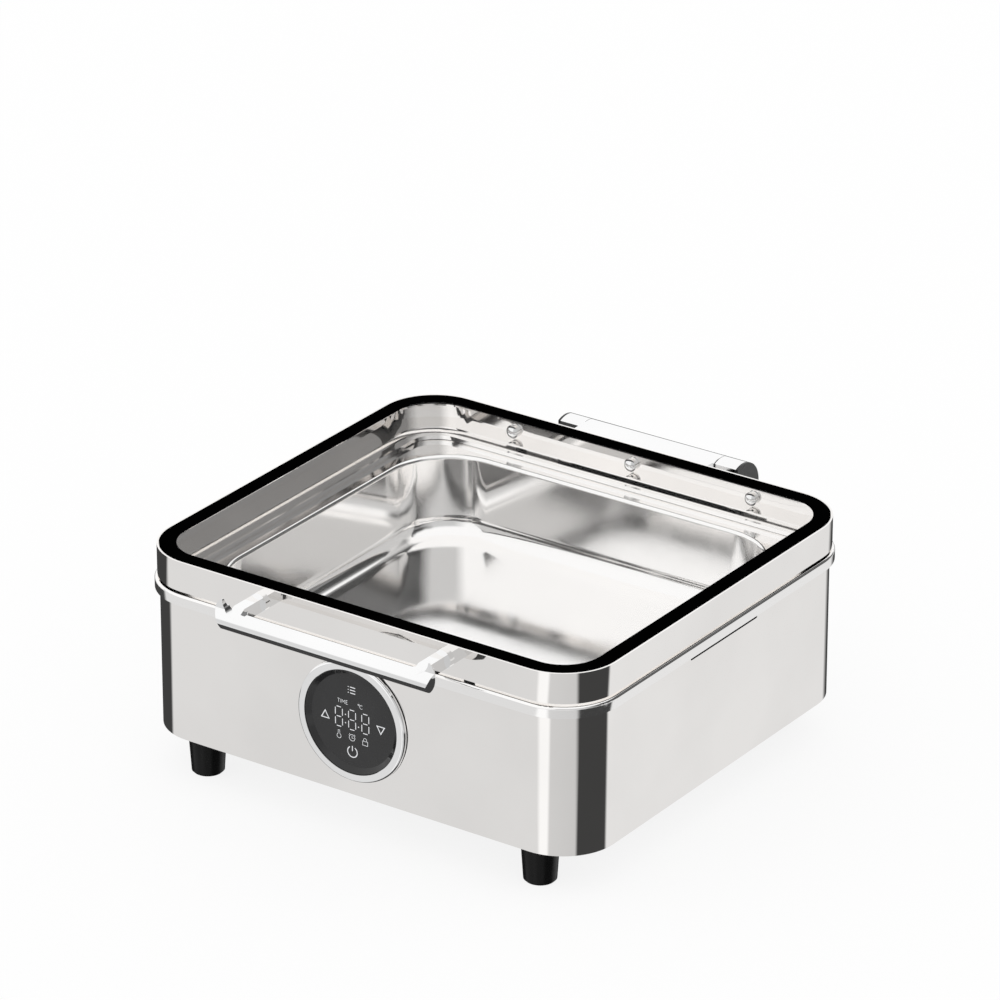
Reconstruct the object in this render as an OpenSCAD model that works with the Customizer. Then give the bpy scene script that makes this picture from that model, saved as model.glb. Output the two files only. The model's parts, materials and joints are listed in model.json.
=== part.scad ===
// Electric chafing dish: a polished housing with a heated water pan, a lift-out food pan,
// a glass lid on a damped rear hinge and a round touch display.
// Millimetres, +Z up, front towards -Y, standing on Z = 0, centred in X and Y.

/* [Food pan] */
// Width of the food pan over its flange (two-thirds gastronorm)
pan_w = 354; // [320:1:420]
// Front-to-back size of the food pan over its flange
pan_d = 325; // [300:1:380]
// Height of the food pan
pan_depth = 65; // [60:1:100]
// Width of the food pan's flange
pan_flange_w = 13; // [11:0.5:16]
// Corner radius of the food pan's flange
pan_flange_r = 22; // [16:1:30]
// Corner radius of the food pan's mouth
pan_corner_r = 51; // [44:1:58]
// Inside radius of the roll from the flange into the wall
pan_rim_r = 2; // [1:0.5:3]
// Draft of the pan walls, in degrees
pan_draft = 3; // [1:0.5:4]
// Radius between the walls and the floor of the pans
pan_fillet = 16; // [10:1:20]
// Sheet thickness of the food pan
pan_t = 1; // [0.8:0.1:1.4]

/* [Body] */
// Gap between the food pan's flange and the recess round it
pan_gap = 1.5; // [1:0.5:3]
// Width of the ledge that carries the food pan's flange
seat_w = 8; // [6.5:0.5:9]
// Width of the land on each side of the food pan
side_land = 20.7; // [19:0.1:30]
// Width of the land in front of and behind the food pan
front_land = 18; // [17:0.1:30]
// Corner radius of the housing
body_r = 44; // [40:1:52]
// Depth of the recess for the food pan's flange
recess_h = 5; // [3:0.5:8]
// Depth of the space for water below the food pan
water_gap = 18; // [14:1:30]
// Clear height between the base plate and the water pan
base_space = 30.4; // [28:0.2:45]
// Sheet thickness of the housing, water pan and base plate
shell_t = 1.2; // [0.8:0.1:1.6]
// Height of the band round the top of the housing
band_h = 8.8; // [7:0.2:10]
// How far the band stands out from the housing
band_out = 3.8; // [3:0.1:5]
// Rounding of the band's top edge
band_edge = 2.2; // [1:0.1:2.6]
// Length of the vent slot in each side
slot_l = 89; // [40:1:140]
// Height of the vent slots
slot_h = 2.6; // [2:0.2:5]
// Distance of the vent slots behind the middle of the housing
slot_y = 6; // [-20:0.5:20]

/* [Feet] */
// Height of the feet
foot_h = 32.5; // [24:0.5:45]
// Diameter of a foot where it meets the housing
foot_top_d = 29; // [26:1:34]
// Diameter of a foot where it meets the table
foot_bottom_d = 25; // [22:1:28]
// Distance of a foot's axis from the side of the housing
foot_inset_x = 48; // [40:1:70]
// Distance of a foot's axis from the front or back of the housing
foot_inset_y = 21; // [18:0.5:26]

/* [Lid] */
// Height of the lid band
lid_h = 24; // [23:0.5:36]
// Gap between the lid band and the land
lid_gap = 2; // [1:0.5:4]
// Sheet thickness of the lid band
lid_t = 1.5; // [1:0.1:2]
// How far the lid band stands out from the housing all round
body_inset = 1.8; // [1:0.1:3]
// Thickness of the lid glass
glass_t = 4; // [3:0.5:5]
// Gap round the edge of the lid glass
glass_gap = 0.3; // [0.2:0.1:0.8]
// Width of the black seal under the edge of the glass
gasket_w = 5.5; // [4:0.5:8]
// Thickness of the black seal
gasket_t = 1; // [0.6:0.2:1.6]
// Width of the inward flange at the foot of the lid band
return_w = 9.5; // [7:0.5:12]

/* [Handle] */
// Length of the handle bar
handle_w = 197; // [190:1:240]
// How far the handle stands out from the lid
handle_reach = 38; // [34:1:50]
// Height of the bar in its middle
handle_waist = 13; // [10:0.5:16]
// Height of the bar at its ends
handle_end_h = 23; // [20:0.5:23]
// Thickness of the bar, front to back
handle_t = 11; // [10:0.5:12]
// Distance between the centres of the two legs
leg_pitch = 165; // [150:1:168]
// Width of a leg
leg_w = 9.5; // [8:0.5:12]

/* [Hinge] */
// Length of the hinge over its end knuckles
hinge_len = 166; // [150:1:190]
// Length of one end knuckle
knuckle_w = 21; // [16:0.5:26]
// Radius of the hinge barrel
hinge_r = 21; // [19:0.5:22]
// Distance of the hinge axis behind the lid
hinge_back = 28; // [27:0.5:34]
// Distance of the hinge axis below the lid band
hinge_drop = 2.2; // [1:0.2:4]
// Diameter of the hinge pin
pin_d = 10; // [8:0.5:12]
// Distance from the middle hinge bolt to the outer ones
bolt_pitch = 110; // [100:1:130]

/* [Display] */
// Diameter of the round touch panel
display_d = 83; // [76:1:84]
// Outer diameter of the chrome ring
ring_d = 96.5; // [94:0.5:98]
// How far the chrome ring stands out from the housing
ring_proud = 4; // [3.5:0.5:6]
// Distance of the panel's centre below the land
display_drop = 60.3; // [58:0.1:62]

/* [Hidden] */
$fn = 96;

// Colours
steel = "#c9cbcd";
black = "#17181a";
zinc = "#8d8f92";
brass = "#b59a52";
board_green = "#2c5c3c";
white_ceramic = "#e8e4da";

// Clearances
fit = 0.05;
hole_gap = 0.2;
run_gap = 0.05;
side_gap = 0.4;
plate_gap = 0.5;
cut = 1;
seam = 0.05;

// Overall sizes that follow from the food pan
step_w = pan_w + 2 * pan_gap;
step_d = pan_d + 2 * pan_gap;
step_r = pan_flange_r + pan_gap;
body_w = step_w + 2 * side_land;
body_d = step_d + 2 * front_land;
lid_w = body_w + 2 * body_inset;
lid_d = body_d + 2 * body_inset;
lid_r = body_r + body_inset;

// Heights
base_top = foot_h + 2 * shell_t;
tub_bottom = base_top + base_space;
pan_bottom = tub_bottom + shell_t + water_gap;
seat_z = pan_bottom + pan_depth - pan_t;
land_z = seat_z + recess_h;
lid_z = land_z + lid_gap;
top_z = lid_z + lid_h;
display_z = land_z - display_drop;
slot_gap = 2.3;
slot_z = land_z - band_h - slot_gap - slot_h / 2;

// Mouth of the water pan, and the flat part of its floor
tub_w = pan_w - 2 * seat_w + 2 * shell_t;
tub_d = pan_d - 2 * seat_w + 2 * shell_t;
tub_r = pan_corner_r + pan_flange_w - seat_w - pan_t + shell_t;
tub_h = seat_z - tub_bottom;
tub_floor = 2 * fillet_inset(tub_h, pan_draft, pan_fillet);

// Hinge axis, and the shift that centres the whole part in Y
hinge_y = lid_d / 2 + hinge_back;
hinge_z = lid_z - hinge_drop;
front_reach = lid_d / 2 + handle_reach;
rear_reach = hinge_y + hinge_r;
shift_y = (front_reach - rear_reach) / 2;

// Feet and base
foot_x = body_w / 2 - foot_inset_x;
foot_y = body_d / 2 - foot_inset_y;
lip_margin = 2;
lip_w = foot_inset_y + foot_top_d / 2 + lip_margin;
foot_bore_d = 11;
foot_bore_h = 16;
foot_edge = 1.5;
m5_d = 5;
m5_nut = 8;
m5_nut_h = 4;
m5_head_d = 9;
m5_head_h = 3.2;
m3_d = 3;
m3_head_d = 6;
m3_head_h = 2.2;
base_screw_l = 5;
base_screw_y = 70;
vent_pitch = 22;
vent_l = 44;
vent_h = 4;
earth_inset = 52;
earth_y = body_d / 2 - earth_inset;

// Heater
heater_t = 5;
heater_margin = 25;
heater_w = 2 * floor((tub_w - tub_floor) / 2 - heater_margin);
heater_d = 2 * floor((tub_d - tub_floor) / 2 - heater_margin);
heater_r = 12;
heater_z = tub_bottom - heater_t;
element_d = 7;
element_runs = 4;
element_pitch = 40;
element_z = heater_z - element_d / 2 - fit;
element_inset = 30;
element_reach = 14;
element_turn = heater_w / 2 - element_inset;
element_end = heater_w / 2 + element_reach;
insulator_d = 10;
insulator_l = 12;
terminal_d = 3;
terminal_l = 8;
clamp_w = 15;
clamp_t = 1.5;
clamp_x = floor(heater_w / 4);
clamp_z = element_z - element_d / 2 - fit - clamp_t;
stud_d = 4;
stud_sink = 4;
stud_inset = 10;
stud_y = heater_d / 2 - stud_inset;
m4_nut = 7;
m4_nut_h = 3.2;
cutout_d = 16;
cutout_h = 7;
cutout_ears = 26;
cutout_ear_t = 1;
sensor_d = 5;
sensor_l = 22;
shield_h = 4;
shield_t = 1;
shield_margin = 15;
pad_t = 5;

// Power board, standing along the right-hand wall
board_t = 1.6;
board_l = 120;
board_h = 44;
board_lift = 8;
standoff_l = 4;
standoff_d = 6;
standoff_inset = 5;
bracket_t = 1.2;
bracket_foot = 14;
bracket_gap = 1.8;
board_x = body_w / 2 - shell_t - bracket_gap - bracket_t - standoff_l;
board_face = board_x - board_t;
board_z = base_top + board_lift;
block_size = [12, 44, 14];
block_rise = 10;
block_z = board_z + block_rise;
block_face = board_face - block_size[0];
entry_rise = 4;
lead_out = 8;
mains_lead_d = 5;
thin_lead_d = 3;
cable_d = 4;
cable_x = 12;
tag_x = 6;
mains_y = 12;
heater_lead_y = 5;
earth_stud_h = 9;
relay_size = [15, 20, 16];
transformer_size = [18, 26, 24];
board_end = 22;
relay_lift = 20;
transformer_lift = 14;

// Mains inlet in the rear wall
inlet_x = 118;
inlet_rise = 38;
inlet_z = foot_h + inlet_rise;
inlet_w = 27;
inlet_h = 19.5;
inlet_flange_w = 50;
inlet_flange_h = 25;
inlet_flange_t = 3;
inlet_flange_r = 4;
inlet_screw_tail = 5;
inlet_depth = 18;
inlet_wall = 1.5;
inlet_floor = 3;
inlet_pitch = 40;
inlet_pin_pitch = 7;
inlet_pin_drop = 4;
inlet_pin_size = [2, 10, 4];
inlet_back = body_d / 2 - inlet_depth;

// Round touch panel: radii, and heights measured outwards from the housing's front face
panel_r = display_d / 2;
panel_t = 3.8;
panel_gap = 0.2;
panel_recess = 1;
panel_lip = 0.6;
dish_w = 3.6;
dish_h = 2.6;
panel_ledge = 3;
ring_edge = 2.5;
spigot_r = panel_r + 1.5;
spigot_t = 3;
spigot_l = 12;
seal_t = 0.8;
retainer_t = 5;
retainer_w = 6;
panel_back = ring_proud - panel_recess - panel_t;
board_seat = -6;
clip_t = 2.4;
clip_w = 5.5;
digits_size = [54, 26];
buzzer_d = 12;
buzzer_h = 6;
buzzer_x = 16;
buzzer_y = 12;

// Lid
ledge_w = gasket_w;
glass_w = lid_w - 2 * (lid_t + glass_gap);
glass_d = lid_d - 2 * (lid_t + glass_gap);
glass_r = lid_r - lid_t - glass_gap;
ledge_z = top_z - glass_t - gasket_t - lid_t;
bumper_d = 8;
bumper_x = lid_w / 4;
bumper_y = lid_d / 2 - lid_t - return_w / 2;

// Handle
handle_drop = 16.5;
handle_z = top_z - handle_drop;
handle_tip = 6.5;
handle_taper = 10;
handle_flat = handle_w / 2 - handle_tip - handle_taper;
handle_rise = handle_end_h - handle_waist;
handle_curve = (handle_taper * handle_taper + handle_rise * handle_rise) / (2 * handle_rise);
handle_round = 16.5;
handle_bow = 14;
handle_edge = -1;
handle_bevel = 4;
end_depth = 4.8;
end_back = 5;
horn_foot = 3.4;
horn_tip = 5.5;
horn_t = 2;
m4_d = 4;
m4_head_d = 7;
m4_head_h = 2.6;
leg_h = 10.5;
leg_screw_l = 12;
leg_drop = 1;
leg_bottom = handle_z - leg_drop;
leg_screw_z = leg_bottom + leg_h / 2;
leg_sink = 5;
leg_slope = 8;
leg_fillet = 9;
fillet_sink = 0.3;
fillet_drop = 0.5;
boss_edge = 2.4;
boss_r = leg_h / 2 + boss_edge;
boss_t = 2.5;

// Hinge
knuckle_flat = 9;
arm_inset = 4;
arm_angle = 50;
mount_t = 3;
mount_h = 40;
mount_gap = 1;
mount_top = land_z - band_h - mount_gap;
mount_bottom = mount_top - mount_h;
mount_screw_gap = 14;
mount_screw_inset = 9;
mount_screw_x = hinge_len / 2 - knuckle_w - mount_screw_gap;
barrel_half = hinge_len / 2 - knuckle_w - side_gap;
damper_wall = 8;
damper_d = pin_d + 2 * damper_wall;
damper_l = 50;
cap_t = 2;
leaf_t = 3;
leaf_h = 17;
leaf_edge = 10;
leaf_under = 3;
bolt_z = lid_z + leaf_h / 2 + fit;
bolt_head_d = 10.6;
bolt_head_h = 5;
bolt_dome_r = 0.6 * bolt_head_d;
washer_d = 10;
washer_t = 1.6;
bolt_tail = 5.5;

// Distance from a tray's outer face in to the flat part of its floor
function fillet_inset(depth, draft, radius) = (radius + (depth - radius) * sin(draft)) / cos(draft);

// The four signs of a symmetric pattern
corners = [[-1, -1], [1, -1], [-1, 1], [1, 1]];

// Moves the model so that its outline is centred on the origin
module placed() translate([0, shift_y, 0]) children();

// Flat rounded rectangle
module rounded_rect(w, d, r) {
    square([w - 2 * r, d], center = true);
    square([w, d - 2 * r], center = true);
    for (s = corners) translate([s[0] * (w / 2 - r), s[1] * (d / 2 - r)]) circle(r);
}

// Plate with rounded corners, standing on Z = 0
module slab(w, d, r, h) linear_extrude(h) rounded_rect(w, d, r);

// Frame of one width, cut from a plate with rounded corners
module ring(w, d, r, t, h) difference() {
    slab(w, d, r, h);
    translate([0, 0, -cut]) slab(w - 2 * t, d - 2 * t, max(r - t, 2), h + 2 * cut);
}

// Sweeps a profile round a rounded rectangle: profile X points outwards from its edge, profile Y is up
module rim_sweep(w, d, r) for (side = [0:3]) {
    turned = side % 2 == 1;
    out = (turned ? d : w) / 2 - r;
    run = (turned ? w : d) - 2 * r;
    rotate([0, 0, 90 * side]) translate([out, run / 2, 0]) {
        rotate([90, 0, 0]) linear_extrude(run) translate([r, 0]) children();
        rotate_extrude(angle = 90) translate([r, 0]) children();
    }
}

// Filled outline behind a tray's wall and fillet, drawn in by t and raised above the mouth by over.
// The fillet stands a seam's width proud of the wall, so that the two cross instead of only touching.
module tray_fill(depth, draft, radius, t, over) {
    centre = [seam / cos(draft) - fillet_inset(depth, draft, radius), radius - depth];
    touch = centre + (radius - t - seam) * [cos(draft), -sin(draft)];
    polygon([[over * tan(draft) - t / cos(draft), over], touch, centre, [centre[0], over]]);
    translate(centre) circle(radius - t);
    translate([centre[0] - radius, t - depth]) square([radius, depth - t + over]);
}

// Section of a tray's wall, fillet and edge of the floor, hanging from its outer top corner at the origin
module tray_section(depth, draft, radius, t) {
    inner = fillet_inset(depth, draft, radius) + radius / 2;
    intersection() {
        difference() {
            tray_fill(depth, draft, radius, 0, 0);
            tray_fill(depth, draft, radius, t, cut);
        }
        translate([-inner, -depth - cut]) square([inner + cut, depth + 2 * cut]);
    }
}

// Open tray with drafted walls and a filleted floor; its mouth is at Z = 0.
// Any child is a rim section that is swept along with the wall.
module tray(w, d, r, depth, draft, radius, t) {
    inset = fillet_inset(depth, draft, radius) + radius / 4;
    rim_sweep(w, d, r) {
        tray_section(depth, draft, radius, t);
        children();
    }
    translate([0, 0, -depth]) slab(w - 2 * inset, d - 2 * inset, r - inset, t);
}

// Points a part's own +Z towards the front
module facing_front() rotate([90, 0, 0]) children();

// Points a part's own +Z towards the back
module facing_back() rotate([-90, 0, 0]) children();

// Lays a part's own +Z along +X
module along_x() rotate([0, 90, 0]) children();

// Screw with a flat head below Z = 0 and its shank above
module screw(d, l, head_d, head_h) {
    translate([0, 0, -head_h]) cylinder(d = head_d, h = head_h);
    cylinder(d = d, h = l);
}

// Hexagon nut on Z = 0
module nut(flats, h, d) difference() {
    cylinder(d = flats / cos(30), h = h, $fn = 6);
    translate([0, 0, -cut]) cylinder(d = d + 2 * fit, h = h + 2 * cut);
}

// Tube of one thickness on Z = 0
module pipe(outer, inner, h) difference() {
    cylinder(r = outer, h = h);
    translate([0, 0, -cut]) cylinder(r = inner, h = h + 2 * cut);
}

// Flat slot with round ends, along X
module stadium(l, h) {
    square([l - h, h], center = true);
    for (s = [-1, 1]) translate([s * (l - h) / 2, 0]) circle(h / 2);
}

// Lead swept along a list of points
lead_sides = 8;
lead_upright = [0.2, 0.1, 1];
function unit(v) = v / norm(v);
function lead_way(p, i) = unit(p[min(i + 1, len(p) - 1)] - p[max(i - 1, 0)]);
function lead_ring(p, i, d) =
    let (way = lead_way(p, i), u = unit(cross(way, lead_upright)), v = cross(way, u))
    let (step = 360 / lead_sides)
    [for (k = [0:lead_sides - 1]) p[i] + d / 2 * (cos(k * step) * u + sin(k * step) * v)];
module lead(p, d) {
    n = lead_sides;
    last = (len(p) - 1) * n;
    skin = [for (i = [0:len(p) - 2], k = [0:n - 1])
        let (a = i * n + k, b = i * n + (k + 1) % n) each [[a, b + n, b], [a, a + n, b + n]]];
    start_cap = [for (k = [1:n - 2]) [0, k, k + 1]];
    end_cap = [for (k = [1:n - 2]) [last, last + k + 1, last + k]];
    polyhedron([for (i = [0:len(p) - 1]) each lead_ring(p, i, d)], concat(skin, start_cap, end_cap));
}

// Places for the screws that hold the base plate to the housing's lip
base_screw_places = [
    for (sx = [-1, 1], y = [-base_screw_y, base_screw_y]) [sx * (body_w - lip_w) / 2, y],
    for (sy = [-1, 1]) [0, sy * (body_d - lip_w) / 2]
];

// Places for the screws that hold the hinge bracket to the rear wall
mount_screw_places = [
    for (sx = [-1, 1], z = [mount_bottom + mount_screw_inset, mount_top - mount_screw_inset])
        [sx * mount_screw_x, z]
];

// Polished sheet shell with an inward lip at its foot
module outer_housing() placed() color(steel) difference() {
    union() {
        translate([0, 0, foot_h]) ring(body_w, body_d, body_r, shell_t, land_z - shell_t - foot_h);
        translate([0, 0, foot_h]) ring(body_w, body_d, body_r, lip_w, shell_t);
    }
    translate([0, -body_d / 2, display_z]) facing_front()
        cylinder(r = spigot_r + hole_gap, h = 4 * shell_t, center = true);
    for (s = [-1, 1]) translate([s * body_w / 2, slot_y, slot_z]) rotate([90, 0, 90])
        linear_extrude(4 * shell_t, center = true) stadium(slot_l, slot_h);
    translate([inlet_x, body_d / 2, inlet_z])
        cube([inlet_w + 2 * hole_gap, 4 * shell_t, inlet_h + 2 * hole_gap], center = true);
    for (s = [-1, 1]) translate([inlet_x + s * inlet_pitch / 2, body_d / 2, inlet_z]) facing_back()
        cylinder(d = m3_d + 2 * hole_gap, h = 4 * shell_t, center = true);
    for (p = mount_screw_places) translate([p[0], body_d / 2, p[1]]) facing_back()
        cylinder(d = m5_d + 2 * hole_gap, h = 4 * shell_t, center = true);
    for (s = corners) translate([s[0] * foot_x, s[1] * foot_y, foot_h])
        cylinder(d = m5_d + 2 * hole_gap, h = 4 * shell_t, center = true);
    for (p = base_screw_places) translate([p[0], p[1], foot_h])
        cylinder(d = m3_d + 2 * hole_gap, h = 4 * shell_t, center = true);
}

// Section of the band at the top of the housing, outwards from its wall and down from the land
module band_section() intersection() {
    union() {
        translate([0, -band_h]) square([band_out, band_h - band_edge]);
        translate([0, -band_h]) square([band_out - band_edge, band_h]);
        translate([band_out - band_edge, -band_edge]) circle(band_edge);
    }
    translate([0, -band_h - cut]) square([band_out + cut, band_h + 2 * cut]);
}

// Tub for hot water, with the recess for the food pan, the land and the band round the housing's top
module water_pan() placed() color(steel) {
    land_w = body_w + 2 * fit;
    land_d = body_d + 2 * fit;
    land_r = body_r + fit;
    translate([0, 0, land_z - shell_t]) difference() {
        slab(land_w, land_d, land_r, shell_t);
        translate([0, 0, -cut]) slab(step_w, step_d, step_r, shell_t + 2 * cut);
    }
    rim_sweep(land_w, land_d, land_r) translate([0, land_z]) band_section();
    translate([0, 0, seat_z - shell_t])
        ring(step_w + 2 * shell_t, step_d + 2 * shell_t, step_r + shell_t, shell_t, recess_h + shell_t);
    translate([0, 0, seat_z - shell_t]) difference() {
        slab(step_w + 2 * shell_t, step_d + 2 * shell_t, step_r + shell_t, shell_t);
        translate([0, 0, -cut])
            slab(tub_w - shell_t, tub_d - shell_t, tub_r - shell_t / 2, shell_t + 2 * cut);
    }
    translate([0, 0, seat_z]) tray(tub_w, tub_d, tub_r, tub_h, pan_draft, pan_fillet, shell_t);
}

// Plate that closes the bottom of the housing, with rows of vent slots
module base_plate() placed() color("#9a9c9f") translate([0, 0, foot_h + shell_t]) difference() {
    inset = shell_t + plate_gap;
    slab(body_w - 2 * inset, body_d - 2 * inset, body_r - inset, shell_t);
    for (s = corners) translate([s[0] * foot_x, s[1] * foot_y, 0])
        cylinder(d = m5_d + 2 * hole_gap, h = 4 * shell_t, center = true);
    for (p = base_screw_places) translate([p[0], p[1], 0])
        cylinder(d = m3_d + 2 * hole_gap, h = 4 * shell_t, center = true);
    for (sx = [-1, 1], row = [-2:2]) translate([sx * heater_w / 3, row * vent_pitch, -cut])
        linear_extrude(shell_t + 2 * cut) stadium(vent_l, vent_h);
    translate([inlet_x, earth_y, -cut]) cylinder(d = m4_d + 2 * fit, h = shell_t + 2 * cut);
}

// Tapered rubber foot with a bore for its screw
module foot(sx, sy) placed() color(black) translate([sx * foot_x, sy * foot_y, 0])
    rotate_extrude() polygon([
        [m5_d / 2 + hole_gap, foot_bore_h],
        [foot_bore_d / 2, foot_bore_h],
        [foot_bore_d / 2, 0],
        [foot_bottom_d / 2 - foot_edge, 0],
        [foot_bottom_d / 2, foot_edge],
        [foot_top_d / 2, foot_h],
        [m5_d / 2 + hole_gap, foot_h]
    ]);
module foot_front_left() foot(-1, -1);
module foot_front_right() foot(1, -1);
module foot_rear_left() foot(-1, 1);
module foot_rear_right() foot(1, 1);

// Screws up through the feet, the lip and the base plate
module foot_screws() placed() color(zinc) for (s = corners)
    translate([s[0] * foot_x, s[1] * foot_y, foot_bore_h])
        screw(m5_d, base_top + m5_nut_h + 1 - foot_bore_h, m5_head_d, m5_head_h);

// Nuts on top of the base plate
module foot_nuts() placed() color(zinc) for (s = corners)
    translate([s[0] * foot_x, s[1] * foot_y, base_top]) nut(m5_nut, m5_nut_h, m5_d);

// Small screws from below, through the lip and the base plate
module base_screws() placed() color(zinc) for (p = base_screw_places)
    translate([p[0], p[1], foot_h]) screw(m3_d, base_screw_l, m3_head_d, m3_head_h);

// Cast plate that spreads the heat under the water pan
module heater_plate() placed() color("#b4b6b8") translate([0, 0, heater_z]) difference() {
    slab(heater_w, heater_d, heater_r, heater_t);
    for (p = stud_places) translate([p[0], p[1], -cut]) cylinder(d = stud_d + 2 * fit, h = stud_sink + cut);
}
stud_places = [for (s = corners) [s[0] * clamp_x, s[1] * stud_y]];

// Tubular element that winds to and fro under the heater plate
module heating_element() placed() color("#6d6a68") translate([0, 0, element_z]) {
    for (i = [0:element_runs - 1]) {
        outer_run = i == 0 || i == element_runs - 1;
        right = outer_run ? element_end : element_turn;
        translate([-element_turn, (i - (element_runs - 1) / 2) * element_pitch, 0]) along_x()
            cylinder(d = element_d, h = element_turn + right);
    }
    for (i = [0:element_runs - 2]) {
        side = i % 2 == 0 ? -1 : 1;
        y = (i + 1 - element_runs / 2) * element_pitch;
        translate([side * element_turn, y, 0]) rotate([0, 0, -90 * side])
            rotate_extrude(angle = 180) translate([element_pitch / 2, 0]) circle(d = element_d);
    }
}

// Ceramic ends of the element, with their pins
module element_terminals() placed() color(white_ceramic) for (s = [-1, 1])
    translate([element_end, s * (element_runs - 1) / 2 * element_pitch, element_z]) along_x() {
        cylinder(d = insulator_d, h = insulator_l);
        cylinder(d = terminal_d, h = insulator_l + terminal_l);
    }

// Bars that hold the element against the plate
module heater_clamps() placed() color(zinc) translate([0, 0, clamp_z]) difference() {
    for (s = [-1, 1]) translate([s * clamp_x, 0, 0]) linear_extrude(clamp_t)
        square([clamp_w, 2 * stud_y + clamp_w], center = true);
    for (p = stud_places) translate([p[0], p[1], -cut])
        cylinder(d = stud_d + 2 * hole_gap, h = clamp_t + 2 * cut);
}

// Studs down from the heater plate, with the nuts below the bars
module heater_studs() placed() color(brass) for (p = stud_places)
    translate([p[0], p[1], clamp_z - m4_nut_h]) {
        cylinder(d = m4_nut / cos(30), h = m4_nut_h, $fn = 6);
        cylinder(d = stud_d, h = heater_z + stud_sink - clamp_z + m4_nut_h);
    }

// Snap-disc cut-out against the middle of the heater plate
module thermal_cutout() placed() color(black) translate([0, 0, heater_z]) mirror([0, 0, 1]) {
    cylinder(d = cutout_d, h = cutout_h);
    linear_extrude(cutout_ear_t) stadium(cutout_ears, cutout_d / 2);
}

// Sensor sleeve against the heater plate, between two runs of the element
module temperature_sensor() placed() color(steel)
    translate([clamp_x + clamp_w, 0, heater_z - sensor_d / 2 - fit]) along_x()
        cylinder(d = sensor_d, h = sensor_l);

// Mineral wool pad on the heat shield
module insulation_pad() placed() color("#d9d2b8") translate([0, 0, base_top + shield_h + shield_t])
    slab(heater_w, heater_d, heater_r, pad_t);

// Folded sheet that keeps the heat off the base
module heat_shield() placed() color("#b9bcc0") translate([0, 0, base_top]) {
    shield_w = heater_w + 2 * shield_margin;
    translate([0, 0, shield_h]) slab(shield_w, heater_d + 2 * shield_margin, heater_r, shield_t);
    for (s = [-1, 1]) translate([s * (shield_w / 2 - shield_h), 0, 0])
        linear_extrude(shield_h + shield_t) square([shield_t, heater_d], center = true);
}

// Box on the inner face of the power board
module on_board(size, y, z) translate([board_face - size[0], y - size[1] / 2, z]) cube(size);

// Circuit board that switches the heater
module power_board() placed() color(board_green) difference() {
    translate([board_face, -board_l / 2, board_z]) cube([board_t, board_l, board_h]);
    for (p = standoff_places) translate([board_face - cut, p[0], p[1]]) along_x()
        cylinder(d = m3_d, h = board_t + 2 * cut);
}
standoff_places = [
    for (y = [-1, 1], z = [standoff_inset, board_h - standoff_inset])
        [y * (board_l / 2 - standoff_inset), board_z + z]
];

// Pillars between the board and its bracket
module board_standoffs() placed() color(brass) for (p = standoff_places)
    translate([board_x, p[0], p[1]]) along_x() cylinder(d = standoff_d, h = standoff_l);

// Bent plate on the base that carries the board
module board_bracket() placed() color("#b9bcc0") {
    back = board_x + standoff_l;
    translate([back, -board_l / 2, base_top]) cube([bracket_t, board_l, board_lift + board_h]);
    translate([back - bracket_foot, -board_l / 2, base_top])
        cube([bracket_foot + bracket_t, board_l, bracket_t]);
}

// Parts on the board
module relay() placed() color("#2b4f86")
    on_board(relay_size, board_end - board_l / 2, board_z + relay_lift);
module terminal_block() placed() color("#3f7d4d") on_board(block_size, 0, block_z - block_size[2] / 2);
module transformer() placed() color("#c9a845")
    on_board(transformer_size, board_l / 2 - board_end, board_z + transformer_lift);

// Mains inlet socket in the rear wall
module power_inlet() placed() color(black) translate([inlet_x, 0, inlet_z]) difference() {
    union() {
        translate([0, body_d / 2, 0]) facing_back() linear_extrude(inlet_flange_t)
            rounded_rect(inlet_flange_w, inlet_flange_h, inlet_flange_r);
        translate([-inlet_w / 2, inlet_back, -inlet_h / 2])
            cube([inlet_w, inlet_depth + inlet_flange_t, inlet_h]);
    }
    translate([inlet_wall - inlet_w / 2, inlet_back + inlet_floor, inlet_wall - inlet_h / 2])
        cube([inlet_w - 2 * inlet_wall, inlet_depth + inlet_flange_t, inlet_h - 2 * inlet_wall]);
    for (s = [-1, 1]) translate([s * inlet_pitch / 2, body_d / 2, 0]) facing_back()
        cylinder(d = m3_d + 2 * hole_gap, h = 4 * inlet_flange_t, center = true);
}

// Three blades in the inlet, the earth blade offset from the other two
module inlet_pins() placed() color(brass) for (i = [-1:1]) {
    rise = i == 0 ? inlet_pin_drop : -inlet_pin_drop / 2;
    translate([inlet_x + i * inlet_pin_pitch, inlet_back + inlet_floor, inlet_z + rise])
        translate([-inlet_pin_size[0] / 2, 0, -inlet_pin_size[2] / 2]) cube(inlet_pin_size);
}

// Screws that hold the inlet's flange
module inlet_screws() placed() color(zinc) for (s = [-1, 1])
    translate([inlet_x + s * inlet_pitch / 2, body_d / 2 + inlet_flange_t, inlet_z]) facing_front()
        screw(m3_d, inlet_flange_t + shell_t + inlet_screw_tail, m3_head_d, m3_head_h);

// Earth stud on the base plate, with its nut
module earth_stud() placed() color(brass) translate([inlet_x, earth_y, foot_h + shell_t]) {
    cylinder(d = m4_d, h = shell_t + earth_stud_h);
    translate([0, 0, shell_t]) cylinder(d = m4_nut / cos(30), h = m4_nut_h, $fn = 6);
}

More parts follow.
